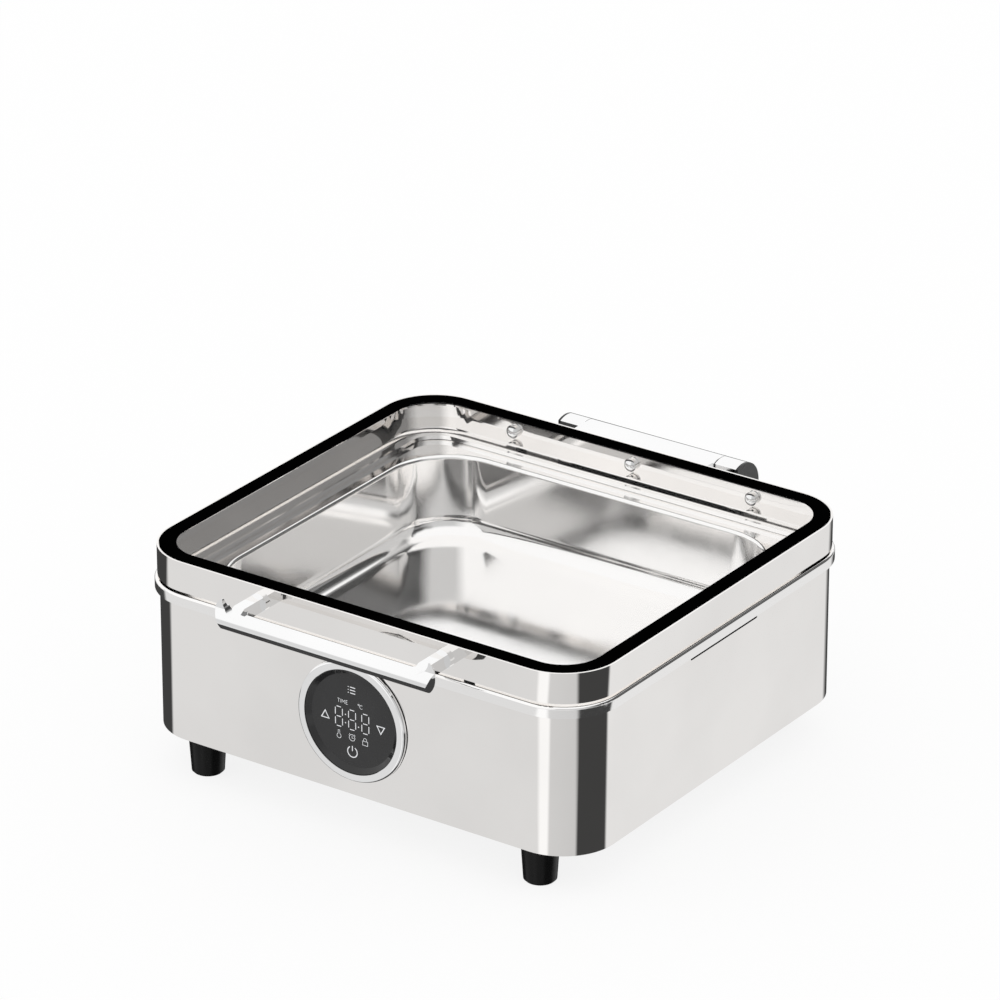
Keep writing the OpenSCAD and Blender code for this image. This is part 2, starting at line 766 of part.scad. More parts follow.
// Leads from the inlet to the terminal block and to the earth stud
module mains_leads() placed() color("#6b3b22") {
    lead([
        [inlet_x + tag_x, inlet_back - fit, inlet_z],
        [inlet_x + tag_x, inlet_back - lead_out, inlet_z],
        [inlet_x + 2 * tag_x, inlet_back - 3 * lead_out, block_z + tag_x],
        [(inlet_x + block_face) / 2, inlet_back / 2 + mains_y, block_z],
        [block_face - 2 * lead_out, mains_y + 2 * lead_out, block_z - entry_rise],
        [block_face - lead_out, mains_y, block_z - entry_rise],
        [block_face - fit, mains_y, block_z - entry_rise]
    ], mains_lead_d);
    lead([
        [inlet_x - tag_x, inlet_back - fit, inlet_z],
        [inlet_x - tag_x, inlet_back - lead_out, inlet_z],
        [inlet_x - tag_x / 2, (inlet_back + earth_y) / 2 - lead_out, base_top + 3 * lead_out],
        [inlet_x, earth_y, base_top + earth_stud_h + lead_out],
        [inlet_x, earth_y, base_top + earth_stud_h + fit]
    ], thin_lead_d);
}

// Leads from the terminal block to the two ends of the element
module heater_leads() placed() color("#c9c4b4") for (s = [-1, 1]) {
    pin_x = element_end + insulator_l + terminal_l;
    pin_y = s * (element_runs - 1) / 2 * element_pitch;
    block_y = s * heater_lead_y - mains_y;
    lead([
        [pin_x + fit, pin_y, element_z],
        [pin_x + lead_out, pin_y, element_z],
        [block_face - lead_out, block_y, block_z + entry_rise],
        [block_face - fit, block_y, block_z + entry_rise]
    ], thin_lead_d);
}

// Cable from the power board round the front of the water pan to the display
module display_cable() placed() color("#d8d8d8") lead([
    [cable_x, board_seat_y + board_t + fit, display_z - cable_x],
    [cable_x, cable_y, display_z - cable_x],
    [3 * cable_x, cable_y, display_z - 3 * cable_x],
    [body_w / 5, cable_y, block_z],
    [body_w / 2 - 2 * body_r, cable_y + lead_out, block_z],
    [body_w / 2 - body_r / 2, body_r - body_d / 2, block_z],
    [board_face - lead_out, cable_end - 2 * lead_out, block_z],
    [board_face - lead_out, cable_end, block_z],
    [board_face - fit, cable_end, block_z]
], cable_d);
board_seat_y = -body_d / 2 - board_seat;
cable_y = board_seat_y + board_t + lead_out;
cable_end = cable_x - board_l / 2;

// Places a part on the axis of the round panel: its own +Z runs outwards from the housing's front face
module on_panel() placed() translate([0, -body_d / 2, display_z]) facing_front() children();

// Chrome ring with a ledge for the glass and a threaded spigot through the housing
module control_bezel() color(steel) on_panel() rotate_extrude() {
    ring_r = ring_d / 2;
    glass_edge = panel_r + panel_gap;
    ledge_r = panel_r - panel_ledge;
    difference() {
        union() {
            translate([ledge_r, seal_t]) square([ring_r - ring_edge - ledge_r, ring_proud - seal_t]);
            translate([ledge_r, seal_t]) square([ring_r - ledge_r, ring_proud - ring_edge - seal_t]);
            translate([ring_r - ring_edge, ring_proud - ring_edge]) circle(ring_edge);
            translate([spigot_r - spigot_t, -spigot_l]) square([spigot_t, spigot_l + ring_proud / 2]);
            translate([ledge_r, board_seat]) square([spigot_r - ledge_r, panel_back - board_seat]);
        }
        translate([0, panel_back]) square([glass_edge, 2 * ring_proud]);
        translate([spigot_r, seal_t - ring_proud]) square([ring_d, ring_proud]);
    }
}

// Black touch panel, dished inside its rim
module control_glass() color(black) on_panel() rotate_extrude() polygon([
    [0, panel_back],
    [panel_r, panel_back],
    [panel_r, panel_back + panel_t],
    [panel_r - panel_lip, panel_back + panel_t],
    [panel_r - panel_lip - dish_w, panel_back + panel_t - dish_h],
    [0, panel_back + panel_t - dish_h]
]);

// Seal between the ring and the housing
module panel_gasket() color(black) on_panel() pipe(ring_d / 2 - 1, spigot_r + hole_gap, seal_t);

// Threaded ring that clamps the panel from inside
module panel_retainer() color("#55585c") on_panel() translate([0, 0, -shell_t - retainer_t])
    pipe(spigot_r + retainer_w, spigot_r + fit, retainer_t);

// Lit digit block between the glass and its board
module display_module() color("#d9dde0") on_panel() translate([0, 0, board_seat])
    linear_extrude(panel_back - board_seat) square(digits_size, center = true);

// Round board behind the digits
module display_board() color(board_green) on_panel() translate([0, 0, board_seat - board_t])
    cylinder(r = spigot_r - spigot_t - panel_gap, h = board_t);

// Ring that snaps in behind the board
module board_clip_ring() color(black) on_panel() translate([0, 0, board_seat - board_t - clip_t])
    pipe(spigot_r - spigot_t - fit, spigot_r - spigot_t - clip_w, clip_t);

// Sounder on the back of the display board
module buzzer() color(black) on_panel() translate([-buzzer_x, -buzzer_y, board_seat - board_t - buzzer_h])
    cylinder(d = buzzer_d, h = buzzer_h);

// Lays a part's own +Z along the hinge axis
module on_hinge() translate([0, hinge_y, hinge_z]) along_x() children();

// Rear bracket with the two end knuckles of the hinge
module hinge_bracket() placed() color(steel) difference() {
    union() {
        translate([-hinge_len / 2, body_d / 2, mount_bottom]) cube([hinge_len, mount_t, mount_h]);
        for (s = [-1, 1]) translate([s * (hinge_len - knuckle_w - cap_t) / 2, 0, 0]) rotate([90, 0, 90])
            linear_extrude(knuckle_w - cap_t, center = true) knuckle_section();
    }
    on_hinge() cylinder(d = pin_d + 2 * run_gap, h = 2 * hinge_len, center = true);
    for (p = mount_screw_places) translate([p[0], body_d / 2, p[1]]) facing_back()
        cylinder(d = m5_d + 2 * hole_gap, h = 4 * mount_t, center = true);
}

// Outline of a knuckle and its arm, seen from the side: X is the part's Y, Y is its Z
module knuckle_section() {
    knuckle_round();
    polygon([
        [body_d / 2, mount_bottom + arm_inset],
        [body_d / 2, mount_top],
        [hinge_y - knuckle_flat, mount_top],
        [hinge_y, hinge_z],
        [hinge_y + hinge_r * sin(arm_angle), hinge_z - hinge_r * cos(arm_angle)]
    ]);
}

// Round part of a knuckle, with a flat towards the lid
module knuckle_round() translate([hinge_y, hinge_z]) intersection() {
    circle(hinge_r);
    translate([-knuckle_flat, -hinge_r]) square([knuckle_flat + hinge_r, 2 * hinge_r]);
}

// Fixed pin through the knuckles and the lid's barrel
module hinge_pin() placed() color(zinc) on_hinge()
    cylinder(d = pin_d, h = hinge_len - 2 * cap_t, center = true);

// Dark caps that close the ends of the knuckles
module hinge_end_caps() placed() color(black) for (s = [-1, 1])
    translate([s * (hinge_len - cap_t) / 2, 0, 0]) rotate([90, 0, 90])
        linear_extrude(cap_t, center = true) knuckle_round();

// Screws through the bracket and the rear wall
module bracket_screws() placed() color(zinc) for (p = mount_screw_places)
    translate([p[0], body_d / 2 + mount_t, p[1]]) facing_front()
        screw(m5_d, mount_t + shell_t + m5_nut_h + 1, m5_head_d, m5_head_h);

// Nuts inside the rear wall
module bracket_nuts() placed() color(zinc) for (p = mount_screw_places)
    translate([p[0], body_d / 2 - shell_t, p[1]]) facing_front() nut(m5_nut, m5_nut_h, m5_d);

// Polished band with a ledge for the glass and an inward flange at its foot
module lid_frame() placed() color(steel) difference() {
    union() {
        translate([0, 0, lid_z]) ring(lid_w, lid_d, lid_r, lid_t, lid_h);
        translate([0, 0, lid_z]) ring(lid_w, lid_d, lid_r, lid_t + return_w, lid_t);
        translate([0, 0, ledge_z]) ring(lid_w, lid_d, lid_r, lid_t + ledge_w, lid_t);
    }
    for (x = [-bolt_pitch, 0, bolt_pitch]) translate([x, lid_d / 2, bolt_z]) facing_back()
        cylinder(d = m5_d + 2 * hole_gap, h = 4 * lid_t, center = true);
    for (s = [-1, 1]) translate([s * leg_pitch / 2, -lid_d / 2, leg_screw_z]) facing_front()
        cylinder(d = m4_d + 2 * hole_gap, h = 4 * lid_t, center = true);
}

// Toughened glass, flush with the top of the band
module lid_glass() placed() color("#cfe3e0", 0.35) translate([0, 0, top_z - glass_t])
    slab(glass_w, glass_d, glass_r, glass_t);

// Black seal under the edge of the glass
module glass_gasket() placed() color(black) translate([0, 0, top_z - glass_t - gasket_t])
    ring(glass_w, glass_d, glass_r, gasket_w, gasket_t);

// Cast handle: a bar whose ends rise to horns, and two legs to the lid
module lid_handle() placed() color(steel) translate([0, -lid_d / 2, 0]) difference() {
    union() {
        translate([0, -handle_reach, handle_z]) handle_bar();
        for (m = [0, 1]) mirror([m, 0, 0]) translate([leg_pitch / 2, -handle_reach, leg_bottom]) {
            rotate([90, 0, 90]) linear_extrude(leg_w, center = true) leg_side();
            linear_extrude(handle_z + handle_waist / 2 - fillet_drop - leg_bottom) leg_corner();
            translate([0, handle_reach, leg_h / 2]) facing_front() cylinder(r = boss_r, h = boss_t);
        }
    }
    for (s = [-1, 1]) translate([s * leg_pitch / 2, 0, leg_screw_z]) facing_front()
        cylinder(d = m4_d + 2 * fit, h = 2 * leg_screw_l, center = true);
}

// Bar of the handle, with its front at Y = 0: one section along its length, rounded ends, a scooped top
module handle_bar() difference() {
    intersection() {
        rotate([90, 0, 90]) linear_extrude(2 * handle_w, center = true) handle_section();
        handle_ends();
    }
    translate([0, handle_t + cut, 0]) facing_front() linear_extrude(handle_t + 2 * cut) {
        translate([-handle_flat, handle_waist / 2]) square([2 * handle_flat, handle_end_h]);
        for (s = [-1, 1]) translate([s * handle_flat, handle_waist / 2 + handle_curve - seam])
            circle(handle_curve);
    }
}

// Block with round ends that are bevelled at the front and drawn in at the back
module handle_ends() {
    end_x = handle_w / 2 - handle_round;
    translate([-end_x, -cut, -handle_end_h]) cube([2 * end_x, handle_t + 2 * cut, 2 * handle_end_h]);
    for (s = [-1, 1]) translate([s * end_x, 0, (handle_end_h - handle_waist) / 2]) facing_back()
        rotate_extrude() polygon([
            [0, -cut],
            [handle_round - handle_bevel * (1 + cut / end_depth), -cut],
            [handle_round, end_depth],
            [handle_round - end_back, handle_t + cut],
            [0, handle_t + cut]
        ]);
}

// Handle bar seen from its end, with its front at X = 0: bowed above an edge, bevelled below it,
// and carried up at the back for the horns
module handle_section() {
    bottom = -handle_waist / 2;
    tip = handle_end_h + bottom;
    intersection() {
        translate([handle_bow, handle_edge]) circle(handle_bow);
        translate([-cut, handle_edge]) square([handle_t + cut, handle_end_h / 2]);
    }
    polygon([
        [0, handle_edge],
        [handle_bevel, bottom],
        [handle_t, bottom],
        [handle_t, 0],
        [handle_bevel, 0]
    ]);
    polygon([
        [handle_t, handle_edge],
        [horn_foot, handle_edge],
        [horn_tip, tip],
        [horn_tip + horn_t, tip],
        [handle_t, handle_waist / 2]
    ]);
}

// Leg seen from the side, with the bar's front at X = 0: its top slopes up out of the bar
module leg_side() polygon([
    [leg_sink, 0],
    [leg_sink, leg_h / 2],
    [leg_sink + leg_slope, leg_h],
    [handle_reach, leg_h],
    [handle_reach, 0]
]);

// Fillet between the bar's back and the inner side of a leg, seen from above
module leg_corner() {
    back = handle_t - leg_sink;
    run = leg_fillet + leg_sink;
    translate([-leg_w / 2 - leg_fillet, back]) difference() {
        square(run);
        translate([fillet_sink, run - fillet_sink]) circle(leg_fillet);
    }
}

// Screws from inside the band into the handle's legs
module handle_screws() placed() color(zinc) for (s = [-1, 1])
    translate([s * leg_pitch / 2, lid_t - lid_d / 2, leg_screw_z]) facing_front()
        screw(m4_d, lid_t + leg_screw_l - 1, m4_head_d, m4_head_h);

// Soft pads that the lid rests on
module lid_bumpers() placed() color(black) for (s = corners)
    translate([s[0] * bumper_x, s[1] * bumper_y, land_z]) cylinder(d = bumper_d, h = lid_gap);

// Lid's half of the hinge: barrel, arm and the plate behind the band
module hinge_leaf() placed() color(steel) difference() {
    union() {
        on_hinge() cylinder(r = hinge_r, h = 2 * barrel_half, center = true);
        translate([-barrel_half, lid_d / 2, hinge_z + leaf_under])
            cube([2 * barrel_half, hinge_back, hinge_r - leaf_under]);
        translate([-bolt_pitch - leaf_edge, lid_d / 2, bolt_z - leaf_h / 2])
            cube([2 * (bolt_pitch + leaf_edge), leaf_t, leaf_h]);
    }
    on_hinge() cylinder(d = damper_d + 2 * fit, h = 2 * hinge_len, center = true);
    for (x = [-bolt_pitch, bolt_pitch]) translate([x, lid_d / 2, bolt_z]) facing_back()
        cylinder(d = m5_d + 2 * hole_gap, h = 4 * leaf_t, center = true);
    translate([0, lid_d / 2, bolt_z]) facing_back()
        cylinder(d = m5_d + 2 * fit, h = 2 * (leaf_t + bolt_tail + cut), center = true);
}

// Damper sleeves in the barrel, turning on the pin
module hinge_dampers() placed() color("#55585c") for (s = [-1, 1])
    translate([s * (barrel_half - damper_l / 2), 0, 0]) on_hinge() difference() {
        cylinder(d = damper_d, h = damper_l, center = true);
        cylinder(d = pin_d + 2 * run_gap, h = damper_l + 2 * cut, center = true);
    }

// Dome-headed bolts through the band's rear wall and the leaf
module hinge_bolts() placed() color(steel) for (x = [-bolt_pitch, 0, bolt_pitch])
    translate([x, lid_d / 2 - lid_t - washer_t, bolt_z]) {
        facing_back() cylinder(d = m5_d, h = washer_t + lid_t + leaf_t + bolt_tail);
        facing_front() intersection() {
            cylinder(d = bolt_head_d, h = bolt_head_h);
            translate([0, 0, bolt_head_h - bolt_dome_r]) sphere(bolt_dome_r);
        }
    }

// Washers under the bolt heads
module hinge_washers() placed() color(steel) for (x = [-bolt_pitch, 0, bolt_pitch])
    translate([x, lid_d / 2 - lid_t, bolt_z]) facing_front() pipe(washer_d / 2, m5_d / 2 + fit, washer_t);

// Nuts behind the ends of the leaf
module leaf_nuts() placed() color(zinc) for (x = [-bolt_pitch, bolt_pitch])
    translate([x, lid_d / 2 + leaf_t, bolt_z]) facing_back() nut(m5_nut, m5_nut_h, m5_d);

// Lift-out food pan: flange, rolled rim, drafted walls and filleted floor
module food_pan() placed() color(steel) translate([0, 0, seat_z + pan_t]) {
    mouth_w = pan_w - 2 * pan_flange_w + 2 * pan_t;
    mouth_d = pan_d - 2 * pan_flange_w + 2 * pan_t;
    mouth_r = pan_corner_r + pan_t;
    roll = pan_rim_r + pan_t;
    rim_flat = 3;
    translate([0, 0, -pan_t]) difference() {
        slab(pan_w, pan_d, pan_flange_r, pan_t);
        translate([0, 0, -cut])
            slab(mouth_w + 2 * pan_rim_r, mouth_d + 2 * pan_rim_r, mouth_r + pan_rim_r, pan_t + 2 * cut);
    }
    wall_h = pan_depth - roll;
    translate([0, 0, -roll]) tray(mouth_w, mouth_d, mouth_r, wall_h, pan_draft, pan_fillet, pan_t) {
        intersection() {
            translate([pan_rim_r, 0]) difference() {
                circle(roll);
                circle(pan_rim_r);
            }
            translate([-pan_t, 0]) square(roll);
        }
        translate([pan_rim_r, pan_rim_r]) square([rim_flat, pan_t]);
    }
}

outer_housing();
water_pan();
base_plate();
foot_front_left();
foot_front_right();
foot_rear_left();
foot_rear_right();
foot_screws();
foot_nuts();
base_screws();
heater_plate();
heating_element();
element_terminals();
heater_clamps();
heater_studs();
thermal_cutout();
temperature_sensor();
insulation_pad();
heat_shield();
power_board();
board_standoffs();
board_bracket();
relay();
terminal_block();
transformer();
power_inlet();
inlet_pins();
inlet_screws();
earth_stud();
mains_leads();
heater_leads();
display_cable();
control_bezel();
control_glass();
panel_gasket();
panel_retainer();
display_module();
display_board();
board_clip_ring();
buzzer();
hinge_bracket();
hinge_pin();
hinge_end_caps();
bracket_screws();
bracket_nuts();
lid_frame();
lid_glass();
glass_gasket();
lid_handle();
handle_screws();
lid_bumpers();
hinge_leaf();
hinge_dampers();
hinge_bolts();
hinge_washers();
leaf_nuts();
food_pan();
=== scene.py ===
"""Looks of the electric chafing dish: materials, display print, floor, light and camera."""
import json
import math

import bpy
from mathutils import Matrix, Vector

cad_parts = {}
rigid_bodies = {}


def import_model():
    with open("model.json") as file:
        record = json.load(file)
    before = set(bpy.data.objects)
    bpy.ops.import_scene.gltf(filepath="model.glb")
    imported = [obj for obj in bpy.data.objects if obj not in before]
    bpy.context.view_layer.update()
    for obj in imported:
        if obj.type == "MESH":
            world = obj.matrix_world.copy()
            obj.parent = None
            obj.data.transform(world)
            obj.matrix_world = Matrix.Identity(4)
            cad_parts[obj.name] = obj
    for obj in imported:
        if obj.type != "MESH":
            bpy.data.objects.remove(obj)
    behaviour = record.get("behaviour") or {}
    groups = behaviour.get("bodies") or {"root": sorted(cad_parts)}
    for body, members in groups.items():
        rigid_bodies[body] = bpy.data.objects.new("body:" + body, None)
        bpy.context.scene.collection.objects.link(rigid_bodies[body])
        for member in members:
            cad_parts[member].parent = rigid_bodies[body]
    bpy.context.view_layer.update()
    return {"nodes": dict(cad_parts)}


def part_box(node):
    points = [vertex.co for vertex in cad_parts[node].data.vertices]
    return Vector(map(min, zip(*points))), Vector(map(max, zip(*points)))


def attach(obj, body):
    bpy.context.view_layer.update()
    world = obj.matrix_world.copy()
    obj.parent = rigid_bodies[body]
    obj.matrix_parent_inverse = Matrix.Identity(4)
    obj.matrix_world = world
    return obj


MM = 0.001
WHITE = (1, 1, 1, 1)

# Camera, fitted to the photo: angles in degrees, place in metres from the middle of the glass top
CAMERA_AZIMUTH = 34.909
CAMERA_ELEVATION = 24.574
CAMERA_LENS = 223.24
CAMERA_FROM_GLASS = Vector((2.4021, -3.4375, 1.9400))

# Lid glass: how clear it is, its faint sheen, and its printed border on the top face, grey from below
CLEAR_GLASS = (0.994, 0.994, 0.994, 1)
GLASS_SHEEN = 0.04
UNDER_PRINT = (0.15, 0.15, 0.15, 1)
BORDER_W = 13.1 * MM
GLASS_R = 44.0 * MM
PRINT_DEPTH = 0.5 * MM

# Print on the touch panel: how deep the flat face lies behind the rim, its shift and its size
DISH_DEPTH = 2.6 * MM
PRINT_GAP = 0.06 * MM
PRINT_SHIFT = (-0.9, -1.8)
PRINT_SCALE = 1.026

# Line widths of the print and the size of its dots, in millimetres before scaling
FINE_LINE = 0.34
DEGREE_LINE = 0.36
THIN_LINE = 0.38
DIGIT_LINE = 0.66
BOLD_LINE = 0.72
POWER_LINE = 0.8
DOT_SIZE = 0.9

# Surroundings seen in polished steel, as rings: pairs of a compass angle in degrees and a brightness.
# 0 is the front and 90 the right. The low ring lies well below the horizon, the soft ring just below it
# and the high ring above it, between two rings with a dark cloth on the right
LOW_SURROUND = [
    (-180, 0.3), (-172, 0.05), (-79, 0.05), (-71, 0.73), (-16, 0.73), (-10, 1.0), (5, 1.0), (10, 0.64),
    (57, 0.60), (63, 0.05), (122, 0.05), (128, 0.795), (170, 0.785), (180, 0.3),
]
SOFT_SURROUND = [
    (-180, 0.6), (-165, 0.22), (-125, 0.22), (-100, 0.7), (0, 0.7), (40, 0.85), (80, 0.4), (115, 0.8),
    (180, 0.6),
]
HIGH_SURROUND = [
    (-180, 0.9), (-160, 1.0), (5, 1.0), (25, 0.6), (70, 0.6), (95, 0.23), (165, 0.23), (180, 0.9),
]
CLOTH_SURROUND = [
    (-180, 0.9), (-160, 1.0), (5, 1.0), (25, 0.6), (70, 0.6), (95, 0.05), (172, 0.05), (180, 0.9),
]

# Heights over which one ring blends into the next, as the sine of the angle above the horizon
GROUND_TO_LOW = (-0.95, -0.85)
LOW_TO_SOFT = (-0.35, -0.27)
SOFT_TO_CLOTH = (-0.12, 0.0)
CLOTH_TO_HIGH = (0.34, 0.37)
HIGH_TO_CLOTH = (0.47, 0.50)
CLOTH_TO_SKY = (0.62, 0.80)
GROUND = (0.05, 0.05, 0.05, 1)

# Floor: its size in metres, and how far the camera sees it lifted to white, which leaves a faint shadow
FLOOR_SIZE = 14
FLOOR_LIFT = 0.85

# Part of the noise's range that fills a whole blend of numbers or of colours
NOISE_RANGE = (0.3, 0.7)
TINT_RANGE = (0.35, 0.65)

# Smoothing: edges sharper than this angle in degrees stay sharp, and points closer than this are joined
SHARP_ANGLE = 25
WELD = 0.002 * MM


def add_node(tree, kind, **settings):
    """A new node with some of its properties set."""
    node = tree.nodes.new(kind)
    for key, value in settings.items():
        setattr(node, key, value)
    return node


def new_material(name):
    """An empty node material and its main shader."""
    material = bpy.data.materials.new(name)
    material.use_nodes = True
    return material, material.node_tree, material.node_tree.nodes["Principled BSDF"]


def noise(tree, scale, detail=3.0):
    """Noise fixed to the piece, as a socket from 0 to 1."""
    place = add_node(tree, "ShaderNodeTexCoord")
    texture = add_node(tree, "ShaderNodeTexNoise")
    texture.inputs["Scale"].default_value = scale
    texture.inputs["Detail"].default_value = detail
    tree.links.new(place.outputs["Object"], texture.inputs["Vector"])
    return texture.outputs["Fac"]


def spread(tree, source, low, high, target):
    """Feeds a 0 to 1 socket to a target socket as low to high."""
    fit = add_node(tree, "ShaderNodeMapRange")
    fit.inputs["From Min"].default_value = NOISE_RANGE[0]
    fit.inputs["From Max"].default_value = NOISE_RANGE[1]
    fit.inputs["To Min"].default_value = low
    fit.inputs["To Max"].default_value = high
    tree.links.new(source, fit.inputs["Value"])
    tree.links.new(fit.outputs["Result"], target)


def tint(tree, source, dark, light, target):
    """Feeds a 0 to 1 socket to a colour socket as a blend of two colours."""
    ramp = add_node(tree, "ShaderNodeValToRGB")
    for element, position, colour in zip(ramp.color_ramp.elements, TINT_RANGE, (dark, light)):
        element.position = position
        element.color = (*colour, 1)
    tree.links.new(source, ramp.inputs["Fac"])
    tree.links.new(ramp.outputs["Color"], target)


def roughen(tree, shader, height, strength, distance):
    """Turns a height socket into relief on the shader."""
    bump = add_node(tree, "ShaderNodeBump")
    bump.inputs["Strength"].default_value = strength
    bump.inputs["Distance"].default_value = distance
    tree.links.new(height, bump.inputs["Height"])
    tree.links.new(bump.outputs["Normal"], shader.inputs["Normal"])


def mirror_steel(name, rough=(0.02, 0.06), wave=0.008, pale=0.90, warm=0.0):
    """Mirror-polished stainless sheet with faint waviness, uneven polish and, if wanted, a warm tint."""
    material, tree, shader = new_material(name)
    shader.inputs["Metallic"].default_value = 1.0
    dull, bright = [
        (min(1.0, level * (1 + warm)), level, level * (1 - warm)) for level in (pale, pale + (1 - pale) / 2)
    ]
    tint(tree, noise(tree, 9), dull, bright, shader.inputs["Base Color"])
    spread(tree, noise(tree, 30), rough[0], rough[1], shader.inputs["Roughness"])
    roughen(tree, shader, noise(tree, 14, 1.0), wave, 0.002)
    return material


def plain_metal(name, colour, rough=(0.25, 0.45)):
    """Unpolished metal with a fine grain."""
    material, tree, shader = new_material(name)
    shader.inputs["Metallic"].default_value = 1.0
    light = tuple(min(1.0, c * 1.15) for c in colour)
    tint(tree, noise(tree, 60), colour, light, shader.inputs["Base Color"])
    spread(tree, noise(tree, 220), rough[0], rough[1], shader.inputs["Roughness"])
    roughen(tree, shader, noise(tree, 900), 0.05, 0.0005)
    return material


def moulded(name, colour, rough=(0.35, 0.5), relief=0.08, gloss=0.5):
    """Moulded plastic, rubber or ceramic with a slightly uneven skin."""
    material, tree, shader = new_material(name)
    shader.inputs["Specular IOR Level"].default_value = gloss
    light = tuple(min(1.0, c * 1.25) for c in colour)
    tint(tree, noise(tree, 45), colour, light, shader.inputs["Base Color"])
    spread(tree, noise(tree, 120), rough[0], rough[1], shader.inputs["Roughness"])
    roughen(tree, shader, noise(tree, 700), relief, 0.0004)
    return material


def border_mask(tree, low, high):
    """1 on the printed border of the lid glass and 0 inside it and below the top face."""
    half_w, half_d, centre_y = (high.x - low.x) / 2, (high.y - low.y) / 2, (high.y + low.y) / 2
    place = add_node(tree, "ShaderNodeTexCoord")
    middle = add_node(tree, "ShaderNodeVectorMath", operation="SUBTRACT")
    middle.inputs[1].default_value = (0, centre_y, 0)
    folded = add_node(tree, "ShaderNodeVectorMath", operation="ABSOLUTE")
    inner = add_node(tree, "ShaderNodeVectorMath", operation="SUBTRACT")
    inner.inputs[1].default_value = (half_w - GLASS_R, half_d - GLASS_R, 1)
    outside = add_node(tree, "ShaderNodeVectorMath", operation="MAXIMUM")
    outside.inputs[1].default_value = (0, 0, 0)
    reach = add_node(tree, "ShaderNodeVectorMath", operation="LENGTH")
    edge = add_node(tree, "ShaderNodeMath", operation="GREATER_THAN")
    edge.inputs[1].default_value = GLASS_R - BORDER_W
    tree.links.new(place.outputs["Object"], middle.inputs[0])
    chain = [middle, folded, inner, outside, reach]
    for first, second in zip(chain, chain[1:]):
        tree.links.new(first.outputs["Vector"], second.inputs[0])
    tree.links.new(reach.outputs["Value"], edge.inputs[0])
    split = add_node(tree, "ShaderNodeSeparateXYZ")
    top = add_node(tree, "ShaderNodeMath", operation="GREATER_THAN")
    top.inputs[1].default_value = high.z - PRINT_DEPTH
    both = add_node(tree, "ShaderNodeMath", operation="MULTIPLY")
    tree.links.new(place.outputs["Object"], split.inputs["Vector"])
    tree.links.new(split.outputs["Z"], top.inputs[0])
    tree.links.new(edge.outputs["Value"], both.inputs[0])
    tree.links.new(top.outputs["Value"], both.inputs[1])
    return both.outputs["Value"]


def lid_glass_material():
    """Clear glass with a printed border, black from above."""
    low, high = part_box("lid_glass")
    material, tree, print_shader = new_material("lid_glass")
    output = tree.nodes["Material Output"]
    print_shader.inputs["Specular IOR Level"].default_value = 0.0
    side = add_node(tree, "ShaderNodeNewGeometry")
    ink = add_node(tree, "ShaderNodeMixRGB")
    ink.inputs["Color2"].default_value = UNDER_PRINT
    tint(tree, noise(tree, 40), (0.0004, 0.0004, 0.0004), (0.0008, 0.0008, 0.0008), ink.inputs["Color1"])
    tree.links.new(side.outputs["Backfacing"], ink.inputs["Fac"])
    tree.links.new(ink.outputs["Color"], print_shader.inputs["Base Color"])
    spread(tree, noise(tree, 90), 0.25, 0.35, print_shader.inputs["Roughness"])
    clear = add_node(tree, "ShaderNodeBsdfTransparent")
    clear.inputs["Color"].default_value = CLEAR_GLASS
    sheen = add_node(tree, "ShaderNodeBsdfGlossy")
    spread(tree, noise(tree, 25), 0.01, 0.04, sheen.inputs["Roughness"])
    facing = add_node(tree, "ShaderNodeLayerWeight")
    facing.inputs["Blend"].default_value = 0.2
    weak = add_node(tree, "ShaderNodeMath", operation="MULTIPLY")
    weak.inputs[1].default_value = GLASS_SHEEN
    pane = add_node(tree, "ShaderNodeMixShader")
    whole = add_node(tree, "ShaderNodeMixShader")
    tree.links.new(facing.outputs["Facing"], weak.inputs[0])
    tree.links.new(weak.outputs["Value"], pane.inputs["Fac"])
    tree.links.new(clear.outputs["BSDF"], pane.inputs[1])
    tree.links.new(sheen.outputs["BSDF"], pane.inputs[2])
    tree.links.new(border_mask(tree, low, high), whole.inputs["Fac"])
    tree.links.new(pane.outputs["Shader"], whole.inputs[1])
    tree.links.new(print_shader.outputs["BSDF"], whole.inputs[2])
    tree.links.new(whole.outputs["Shader"], output.inputs["Surface"])
    return material


def panel_material():
    """Glossy black touch panel."""
    material, tree, shader = new_material("touch_panel")
    tint(tree, noise(tree, 30), (0.014, 0.014, 0.0145), (0.018, 0.018, 0.0185), shader.inputs["Base Color"])
    spread(tree, noise(tree, 60), 0.02, 0.05, shader.inputs["Roughness"])
    roughen(tree, shader, noise(tree, 20, 1.0), 0.01, 0.001)
    return material


def print_material():
    """White printed and lit symbols."""
    material, tree, shader = new_material("display_print")
    tint(tree, noise(tree, 80), (0.64, 0.65, 0.66), (0.72, 0.73, 0.74), shader.inputs["Base Color"])
    spread(tree, noise(tree, 90), 0.4, 0.5, shader.inputs["Roughness"])
    shader.inputs["Emission Color"].default_value = (0.9, 0.92, 0.95, 1)
    shader.inputs["Emission Strength"].default_value = 0.2
    return material


